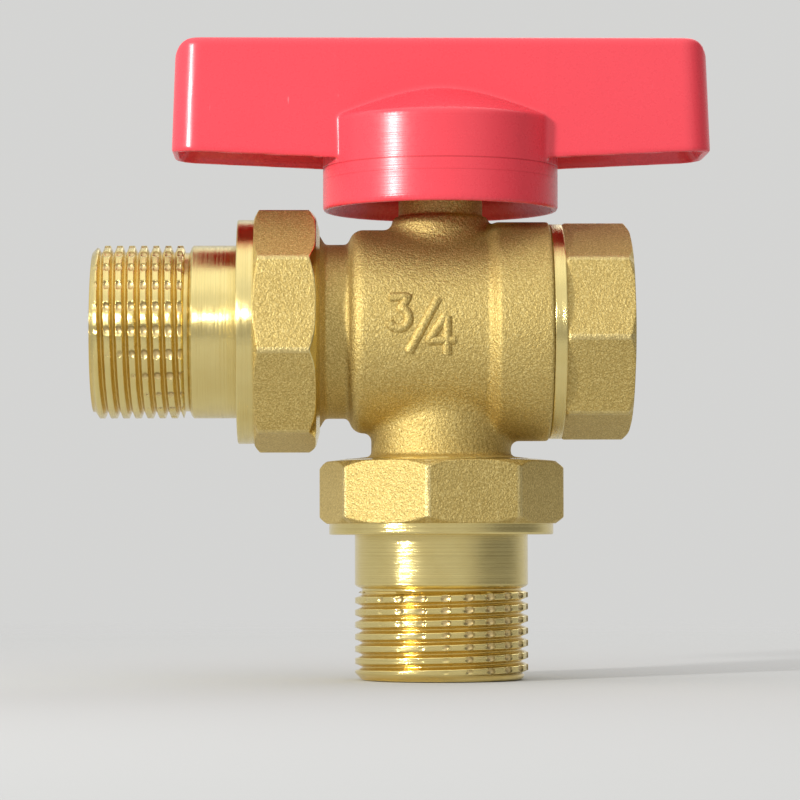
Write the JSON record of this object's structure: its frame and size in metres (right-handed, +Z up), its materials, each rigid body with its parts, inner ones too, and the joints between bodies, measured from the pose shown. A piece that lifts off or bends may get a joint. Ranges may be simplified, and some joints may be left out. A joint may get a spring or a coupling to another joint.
{
  "type": "three-way ball valve",
  "caption": "Forged brass diverter ball valve: union nuts with threaded tailpieces on its left and bottom ports, a female end cap on the right and a red T-handle on top.",
  "frame": {"origin": "centre of the ball, where the stem's axis meets the axes of the three ports", "axes": "+Z up along the stem's axis, -X along the left union, +X along the end cap, -Z along the bottom union, +Y to the back"},
  "size_m": [0.0925, 0.0366, 0.0957],
  "materials": {
    "forged_brass": "sandblasted",
    "turned_brass": "turned",
    "red_plastic": "moulded, glossy",
    "chrome": "polished",
    "steel": "zinc plated",
    "seat_plastic": "smooth",
    "rubber": "matt"
  },
  "bodies": {
    "valve": {"valve_body": "forged_brass", "end_cap": "forged_brass", "end_cap_o_ring": "rubber", "left_seat": "seat_plastic", "right_seat": "seat_plastic", "left_seat_o_ring": "rubber", "right_seat_o_ring": "rubber", "stem_thrust_washer": "seat_plastic"},
    "handle": {"handle": "red_plastic", "handle_washer": "steel", "handle_screw": "steel", "stem": "turned_brass", "stem_lower_o_ring": "rubber", "stem_upper_o_ring": "rubber", "ball": "chrome"},
    "left_tail": {"left_tailpiece": "turned_brass", "left_gasket": "rubber"},
    "left_nut": {"left_union_nut": "forged_brass"},
    "bottom_tail": {"bottom_tailpiece": "turned_brass", "bottom_gasket": "rubber"},
    "bottom_nut": {"bottom_union_nut": "forged_brass"}
  },
  "joints": [
    {"name": "handle_turn", "type": "hinge", "parent": "valve", "child": "handle", "pos_m": [0, 0, 0], "axis": [0, 0, 1], "range_deg": [0, 180]},
    {"name": "left_tail_slide", "type": "slide", "parent": "valve", "child": "left_tail", "axis": [-1, 0, 0], "range_m": [0, 0.0045]},
    {"name": "left_nut_turn", "type": "hinge", "parent": "left_tail", "child": "left_nut", "pos_m": [-0.0245, 0, 0], "axis": [-1, 0, 0], "range_deg": [0, 1080]},
    {"name": "bottom_tail_slide", "type": "slide", "parent": "valve", "child": "bottom_tail", "axis": [0, 0, -1], "range_m": [0, 0.0045]},
    {"name": "bottom_nut_turn", "type": "hinge", "parent": "bottom_tail", "child": "bottom_nut", "pos_m": [0, 0, -0.0245], "axis": [0, 0, -1], "range_deg": [0, 1080]}
  ],
  "couplings": [
    {"joint": "left_nut_turn", "follows": "left_tail_slide", "rad_per_m": 4188.8},
    {"joint": "bottom_nut_turn", "follows": "bottom_tail_slide", "rad_per_m": 4188.8}
  ]
}
